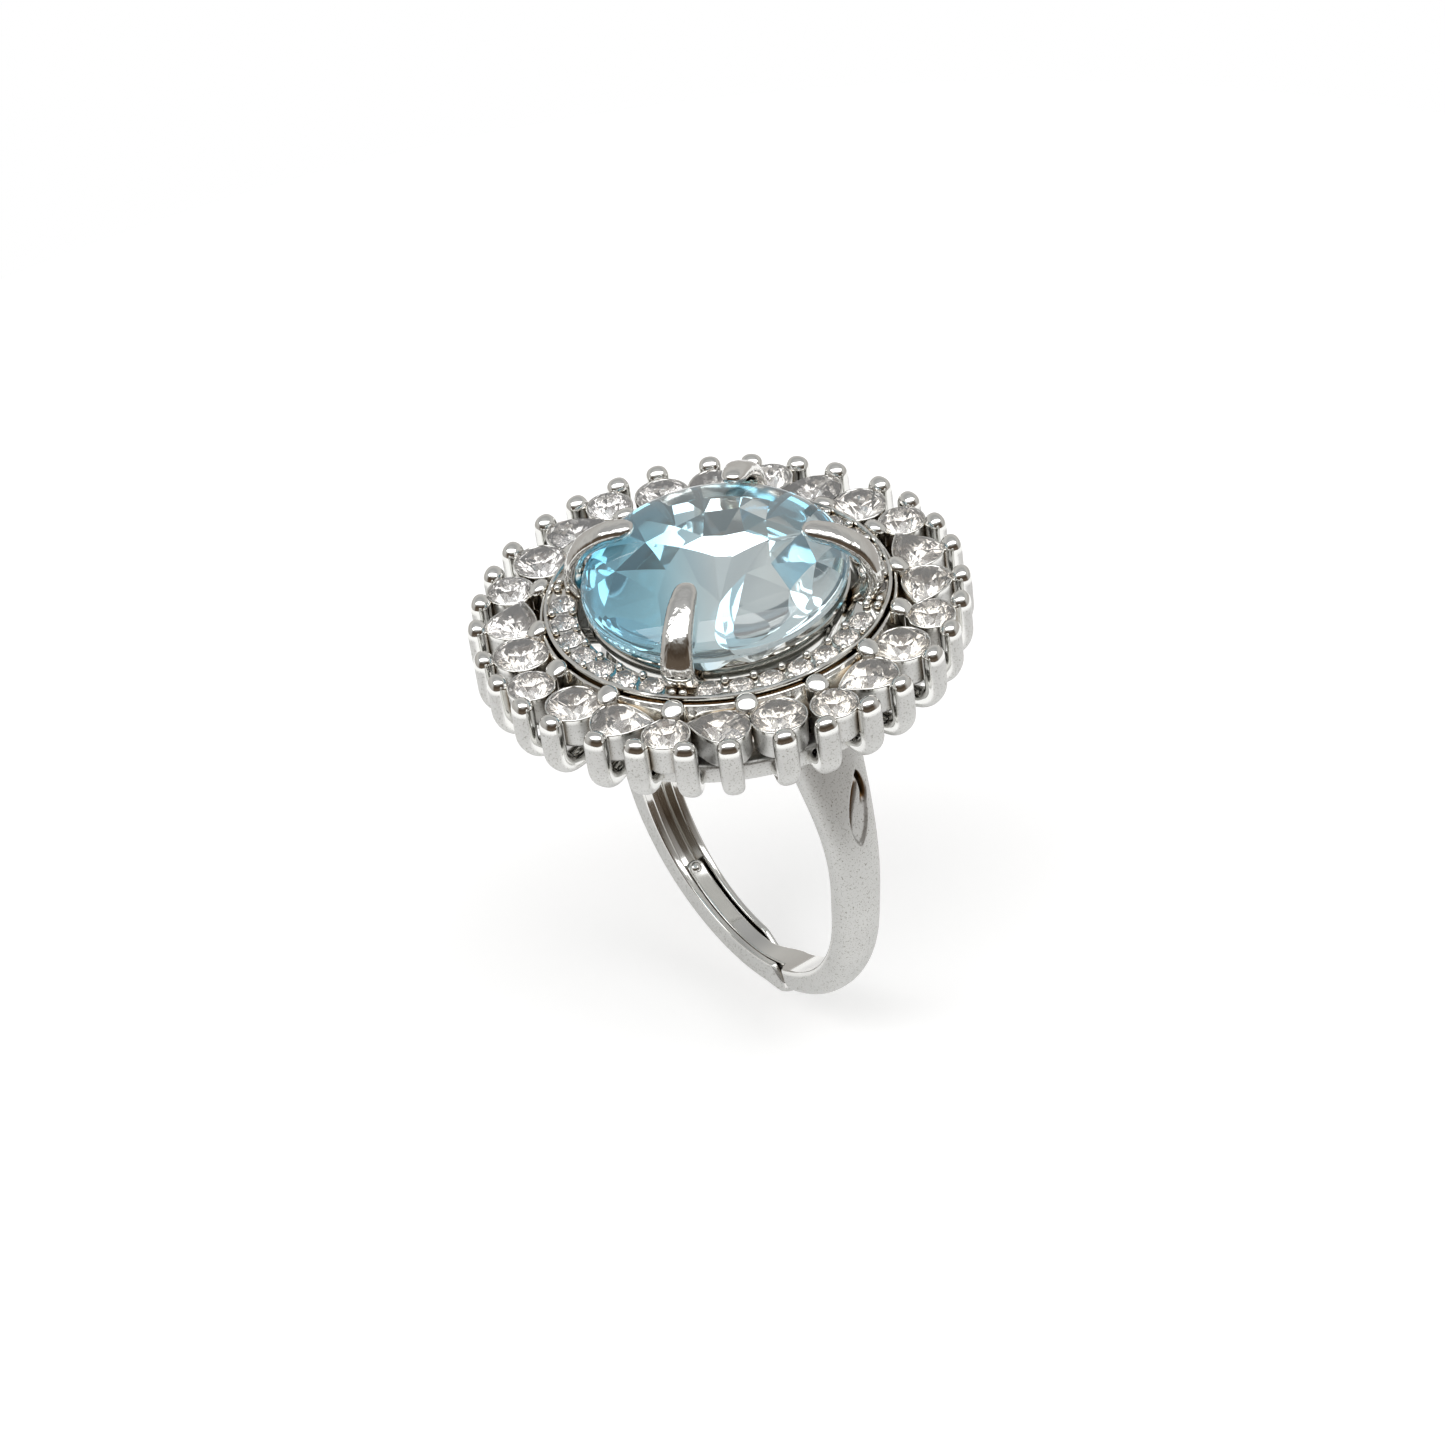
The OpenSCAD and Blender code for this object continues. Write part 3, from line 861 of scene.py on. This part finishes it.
def gem_piece(b, name, cad_node, girdle_z):
    """Flat-faceted clear stone with foil behind its pavilion; the foil has a faint painted glow."""
    obj = b.build(name, CLEAR, "clear_glass", smooth=False, nodes=(cad_node,))
    obj.data.materials.append(SILVER_FOIL_GLOW)
    for p in obj.data.polygons:
        p.material_index = int(p.center.z < (girdle_z - 0.06) * MM)


def halo_stones():
    for i in range(1, HALO_COUNT + 1):
        group, side = (i - 1) // 3, (i - 1) % 3 - 1
        cut = seat_of(group, side)[2]
        b = Builder()
        brilliant(b, cut_outline(cut), 0.42, 1.2)
        b.move(seat_matrix(group, side, HALO_GIRDLE_Z, spin=37.0 * i))
        gem_piece(b, f"halo_gem_{i:02d}", f"halo_stone_{i:02d}", HALO_GIRDLE_Z)


def offset_loop(points, d):
    """Closed 2D loop moved outwards by d."""
    ahead = np.roll(points, -1, 0) - np.roll(points, 1, 0)
    ahead /= np.linalg.norm(ahead, axis=1)[:, None]
    return points + d * np.stack([ahead[:, 1], -ahead[:, 0]], 1)


# How far outside the stone's outline, and how high above the gallery, each edge of a collet lies
COLLET = ((-0.08, 1.75), (-0.02, 1.9), (0.05, 3.1), (0.09, 3.4), (0.07, 3.47), (0.01, 3.47), (-0.05, 3.34))
COLLET_INSIDE = ((-0.45, 2.85), (-0.5, 2.2), (-0.42, 1.75))


def collets():
    n = 48
    for i in range(1, HALO_COUNT + 1):
        group, side = (i - 1) // 3, (i - 1) % 3 - 1
        cut = seat_of(group, side)[2]
        outline = cut_outline(cut)
        loop = even([outline(a) for a in np.linspace(0.001, 2 * math.pi, 300, endpoint=False)], n)
        rings = []
        for d, z in COLLET + COLLET_INSIDE:
            ring = offset_loop(loop, d) if d > -0.2 else loop * (1 + d / (SMALL_D / 2))
            rings.append(np.column_stack([ring, np.full(n, z)]))
        b = Builder()
        b.loft(rings, closed=True, satin=[np.full(n, 1.0 if k < 3 else 0.0) for k in range(len(rings))])
        b.move(seat_matrix(group, side, GALLERY_Z))
        b.build(f"collet_{i:02d}", POLISHED, "polished_metal")


def pave_angle(i):
    group, k = divmod(i - 1, PAVE_PER_GROUP)
    return group * 90 + (k - (PAVE_PER_GROUP - 1) / 2) * PAVE_STEP


def pave_plate():
    """Plate with its rail and skirt, drilled for the stones."""
    b = Builder()
    top, under = PAVE_TOP, PAVE_TOP - 0.75
    foot, skirt_in = GALLERY_Z + 0.5, PAVE_OUT - 0.6
    profile = [(PAVE_IN, under), (skirt_in, under), (skirt_in, foot), (PAVE_OUT, foot)]
    profile += [(PAVE_OUT, top - 0.2), (PAVE_OUT + 0.1, top + 0.02), (PAVE_OUT + 0.1, top + 0.2)]
    profile += [(PAVE_OUT + 0.05, top + 0.26), (PAVE_OUT - 0.06, top + 0.26), (PAVE_OUT - 0.12, top + 0.18)]
    profile += [(PAVE_OUT - 0.13, top), (PAVE_IN + 0.06, top), (PAVE_IN, top - 0.06)]
    b.lathe(profile, 224)
    plate = b.build("pave_plate", POLISHED, "polished_metal", nodes=("pave_ring",))
    cutter = Builder()
    ring = np.array([(math.cos(a), math.sin(a)) for a in np.linspace(0, 2 * math.pi, 24, endpoint=False)])
    for i in range(1, PAVE_COUNT + 1):
        start = len(cutter.verts)
        r = PAVE_D / 2 + 0.02
        rings = [np.column_stack([ring * r, np.full(24, z)]) for z in (under - 1, top + 0.12)]
        cutter.loft(rings)
        cutter.move(around(pave_angle(i)) @ Matrix.Translation((0, -PAVE_RING_R, 0)), start)
    tool = cutter.build("pave_cutter", POLISHED, "polished_metal", body=None)
    drill = plate.modifiers.new("seats", "BOOLEAN")
    drill.object = tool
    drill.operation = "DIFFERENCE"
    drill.solver = "EXACT"
    bpy.context.view_layer.update()
    drilled = bpy.data.meshes.new_from_object(plate.evaluated_get(bpy.context.evaluated_depsgraph_get()))
    plate.modifiers.clear()
    plate.data = drilled
    bpy.data.objects.remove(tool)
    flatten_sharp(plate, 30)


def pave_beads():
    """Beads between the stones of a group, and a pair at each of its ends."""
    between = [(k - (PAVE_PER_GROUP - 2) / 2) * PAVE_STEP for k in range(PAVE_PER_GROUP - 1)]
    places = [(a, r) for a in between for r in (7.5, 8.58)]
    places += [(a, r) for a in (-43.2, 43.2) for r in (7.9, 8.5)]
    beads = Builder()
    for g in range(PAVE_GROUPS):
        for a, r in places:
            start = len(beads.verts)
            ball(beads, (0, -r, BEAD_Z), BEAD_R, 16)
            beads.move(around(g * 90 + a), start)
    beads.build("pave_beads", POLISHED, "polished_metal")


def pave_stones():
    for i in range(1, PAVE_COUNT + 1):
        b = Builder()
        brilliant(b, round_outline(PAVE_D), 0.24, 0.55, edge=0.04)
        spin = Matrix.Rotation(0.7 * i, 4, "Z")
        b.move(around(pave_angle(i)) @ Matrix.Translation((0, -PAVE_RING_R, PAVE_TOP + 0.04)) @ spin)
        gem_piece(b, f"pave_gem_{i:02d}", f"pave_stone_{i:02d}", PAVE_TOP)


def flatten_sharp(obj, degrees):
    """Smooth shading with hard edges where faces meet at more than an angle."""
    obj.data.polygons.foreach_set("use_smooth", [True] * len(obj.data.polygons))
    obj.data.set_sharp_from_angle(angle=math.radians(degrees))


# Tiers of facet corners below the girdle: size along and across, share of the depth, count and shift
TIERS = (
    (0.87, 0.85, 0.30, 16, 0.5),
    (0.66, 0.60, 0.46, 16, 0.0),
    (0.50, 0.36, 0.78, 16, 0.5),
    (0.30, 0.14, 0.91, 8, 0.75),
)


def center_stone():
    """Domed oval stone; its pavilion's facets are uneven, with a fixed seed."""
    n = 96
    outline = oval_outline(STONE_A, STONE_B)
    ring = np.array([outline(a) for a in np.linspace(0, 2 * math.pi, n, endpoint=False)])
    edge = 0.12
    crown = []
    for r in np.sin(np.linspace(0.05, math.pi / 2, 30))[::-1]:
        rise = DOME_H * (1 - r**2.7) ** 0.58
        level = GIRDLE_Z + edge + (DOME_H - edge) / DOME_H * rise
        crown.append(np.column_stack([ring * r, np.full(n, level)]))
    verts = list(np.concatenate(crown))
    faces = []
    for k in range(len(crown) - 1):
        for i in range(n):
            j = (i + 1) % n
            faces.append((k * n + i, k * n + j, (k + 1) * n + j, (k + 1) * n + i))
    faces.append(tuple((len(crown) - 1) * n + i for i in range(n)))
    base = len(verts)
    verts += list(np.column_stack([ring, np.full(n, GIRDLE_Z - edge / 2)]))
    for i in range(n):
        j = (i + 1) % n
        faces.append((i, base + i, base + j, j))
    depth = GIRDLE_Z - edge / 2 - CULET_Z
    uneven = np.random.default_rng(7)
    starts = []
    for along, across, drop, count, shift in TIERS:
        starts.append(len(verts))
        for i in range(count):
            a = 2 * math.pi * (i + shift) / count
            size = np.array((along, across)) * uneven.uniform(0.88, 1.12)
            share = drop + uneven.uniform(-0.035, 0.035)
            verts.append(np.array([*(outline(a) * size), GIRDLE_Z - edge / 2 - depth * share]))
    culet = len(verts)
    verts.append(np.array([0, 0, CULET_Z]))
    s0, s1, s2, s3 = starts
    per = n // 16
    for i in range(16):
        j = (i + 1) % 16
        rim = [base + (per * i + k) % n for k in range(per + 1)]
        for k in range(per):
            faces.append((rim[k], s0 + i, rim[k + 1]))
        faces.append((rim[-1], s0 + i, s1 + j))
        faces.append((rim[-1], s1 + j, s0 + j))
        faces.append((s0 + i, s1 + i, s1 + j))
        faces.append((s1 + i, s2 + i, s1 + j))
        faces.append((s1 + j, s2 + i, s2 + j))
    for i in range(8):
        j = (i + 1) % 8
        a, c, d = s2 + 2 * i, s2 + 2 * i + 1, s2 + (2 * i + 2) % 16
        faces.append((a, s3 + i, c))
        faces.append((c, s3 + i, d))
        faces.append((d, s3 + i, s3 + j))
        faces.append((s3 + i, culet, s3 + j))
    b = Builder()
    b.add(verts, faces)
    b.move(around(CLAW_AT[0] - 90))
    obj = b.build("center_gem", AQUA, "blue_glass", nodes=("center_stone",))
    # The pavilion gets the aqua foil with its painted reflection and glow
    obj.data.materials.append(AQUA_FOIL_PAINTED_LIGHT)
    for p in obj.data.polygons:
        p.use_smooth = bool(p.center.z > (GIRDLE_Z + edge) * MM)
        p.material_index = int(p.center.z < (GIRDLE_Z - edge / 2 - 0.01) * MM)


# Radius and height above the gallery of the centre stone's seat
SEAT = ((5.45, 2.9), (6.3, 2.8), (6.85, 3.8), (6.9, 4.45), (6.78, 4.5), (6.5, 4.3), (5.5, 3.65))
# Radius and height above the gallery of the line that a centre claw follows
CENTRE_CLAW = ((5.6, 0.5), (6.9, 3.3), (7.8, 4.3), (8.0, 5.3), (7.45, 6.5), (6.3, 7.35), (5.5, 7.62))


def basket():
    """Base ring, seat ring and four spokes."""
    b = Builder()
    b.lathe(rounded_profile(5.0, 6.2, GALLERY_Z + 0.1, GALLERY_Z + 0.9, 0.2), 128)
    b.lathe([(r, GALLERY_Z + z) for r, z in SEAT], 160)
    for k in range(4):
        start = len(b.verts)
        rings = []
        for y in np.linspace(-8.35, -5.6, 6):
            box = rounded_box(1.2, 0.6, 4, 20)
            rings.append(np.column_stack([box[:, 0], np.full(20, y), box[:, 1] + GALLERY_Z + 0.75]))
        b.loft(rings)
        b.move(around(45 + 90 * k), start)
    obj = b.build("center_basket_ring", POLISHED, "polished_metal", nodes=("center_basket",))
    flatten_sharp(obj, 45)


def center_claw(k):
    path = smooth_path([(r - CLAW_INSET[k], z + GALLERY_Z) for r, z in CENTRE_CLAW], 6)
    share = np.linspace(0, 1, len(path))
    widths = list(1.95 - 0.62 * share**1.3)
    depths = list(1.0 - 0.05 * share)
    path, widths, depths = domed(path, widths, depths, 1.0)
    b = Builder()
    sweep_rz(b, path, widths, depths, 2.5, 40, CLAW_AT[k])
    b.build(f"center_claw_{k + 1}", DRAWN, "polished_metal")


# ---- Camera ----
VIEW_AZ, VIEW_EL, VIEW_ROLL = 57.3, 37.5, -7.8
VIEW_DISTANCE = 0.3112
VIEW_LENS = 146.9
# Slopes by which the aim leaves the finger hole's centre, to the right and upwards
AIM_RIGHT, AIM_UP = -0.00445, 0.01658
# Level direction from the ring towards the viewer
FRONT = Vector((math.sin(math.radians(VIEW_AZ)), -math.cos(math.radians(VIEW_AZ)), 0))


def camera():
    """Long lens at the photograph's angle, aimed a little above the finger hole's centre."""
    a, e, r = (math.radians(v) for v in (VIEW_AZ, VIEW_EL, VIEW_ROLL))
    back = Vector((math.sin(a) * math.cos(e), -math.cos(a) * math.cos(e), math.sin(e)))
    right = Vector((math.cos(a), math.sin(a), 0))
    up = back.cross(right)
    right, up = (right * math.cos(r) + up * math.sin(r)), (up * math.cos(r) - right * math.sin(r))
    forward = (-back + right * AIM_RIGHT + up * AIM_UP).normalized()
    side = forward.cross(up).normalized()
    top = side.cross(forward)
    cam = bpy.data.objects.new("camera", bpy.data.cameras.new("camera"))
    rot = Matrix((side, top, -forward)).transposed().to_4x4()
    cam.matrix_world = Matrix.Translation(back * VIEW_DISTANCE) @ rot
    cam.data.lens = VIEW_LENS
    cam.data.sensor_width = 36
    cam.data.clip_start = 0.01
    bpy.context.scene.collection.objects.link(cam)
    bpy.context.scene.camera = cam


# ---- Floor and light ----
OPENED_DROP = 2.0
FLOOR_RADIUS = 0.095


def floor():
    """White disc just below the lowest point of the band when it is opened."""
    mesh = bpy.data.meshes.new("floor")
    z = -(OUTER_R + OPENED_DROP) * MM
    angles = np.linspace(0, 2 * math.pi, 96, endpoint=False)
    rim = [(FLOOR_RADIUS * math.cos(a), FLOOR_RADIUS * math.sin(a), z) for a in angles]
    mesh.from_pydata(rim, [], [tuple(range(len(rim)))])
    m, tree, shader = new_material("white_floor")
    shader.inputs["Base Color"].default_value = (0.72, 0.72, 0.72, 1)
    shader.inputs["Roughness"].default_value = 0.7
    shader.inputs["Specular IOR Level"].default_value = 0.1
    shader.inputs["Emission Color"].default_value = (1, 1, 1, 1)
    shader.inputs["Emission Strength"].default_value = 0.42
    mesh.materials.append(m)
    obj = bpy.data.objects.new("floor", mesh)
    bpy.context.scene.collection.objects.link(obj)


def soft_box():
    light = bpy.data.lights.new("soft_box", "AREA")
    light.shape = "RECTANGLE"
    light.size, light.size_y = 1.2, 0.36
    light.energy = 3.4
    obj = bpy.data.objects.new("soft_box", light)
    obj.location = FRONT * 0.2 + Vector((0, 0, 0.5))
    obj.rotation_euler = (0, 0, math.radians(VIEW_AZ))
    bpy.context.scene.collection.objects.link(obj)


# Colour of the room by height, and of its side towards the viewer
ROOM = [
    (0.0, (0.50, 0.48, 0.46)),
    (0.35, (0.60, 0.59, 0.57)),
    (0.75, (0.42, 0.42, 0.42)),
    (1.0, (0.55, 0.55, 0.55)),
]
VIEWER_SIDE = [
    (0.0, (0.13, 0.10, 0.075)),
    (0.25, (0.07, 0.05, 0.035)),
    (0.55, (0.16, 0.14, 0.12)),
    (0.64, (0.55, 0.55, 0.55)),
]


def studio():
    """Grey room that is dark towards the viewer, in reflections only: the camera sees it white."""
    world = bpy.data.worlds.new("studio")
    world.use_nodes = True
    tree = world.node_tree
    link = tree.links.new
    shade = tree.nodes["Background"]
    coords = tree.nodes.new("ShaderNodeTexCoord").outputs["Generated"]
    split = tree.nodes.new("ShaderNodeSeparateXYZ")
    link(coords, split.inputs[0])
    front = tree.nodes.new("ShaderNodeVectorMath")
    front.operation = "DOT_PRODUCT"
    front.inputs[1].default_value = FRONT
    link(coords, front.inputs[0])
    half = node(tree, "ShaderNodeMapRange")
    half.inputs["From Min"].default_value = -1.0
    link(front.outputs["Value"], half.inputs["Value"])
    room = ramp(tree, split.outputs["Z"], ROOM)
    viewer = ramp(tree, split.outputs["Z"], VIEWER_SIDE)
    side = ramp(tree, half.outputs["Result"], [(0.62, (0, 0, 0)), (0.78, (1, 1, 1))])
    mix = tree.nodes.new("ShaderNodeMix")
    mix.data_type = "RGBA"
    link(side, mix.inputs["Factor"])
    link(room, mix.inputs["A"])
    link(viewer, mix.inputs["B"])
    path = tree.nodes.new("ShaderNodeLightPath")
    backdrop = tree.nodes.new("ShaderNodeMix")
    backdrop.data_type = "RGBA"
    link(path.outputs["Is Camera Ray"], backdrop.inputs["Factor"])
    link(mix.outputs["Result"], backdrop.inputs["A"])
    backdrop.inputs["B"].default_value = (1, 1, 1, 1)
    link(backdrop.outputs["Result"], shade.inputs["Color"])
    bpy.context.scene.world = world
    bpy.context.scene.view_settings.view_transform = "Standard"


tongue_half()
channel_half()
gallery_ring()
claw_angles = [g * GROUP_STEP + offset for g in range(GROUPS) for offset in CLAW_OFFSETS]
for index, angle in enumerate(claw_angles, 1):
    halo_claw(index, angle)
for k in range(2 * GROUPS):
    inner_prong(k + 1, k * GROUP_STEP / 2, PRONG_RINGS[k % 2])
collets()
halo_stones()
pave_plate()
pave_beads()
pave_stones()
center_stone()
basket()
for k in range(len(CLAW_AT)):
    center_claw(k)
camera()
floor()
studio()
soft_box()
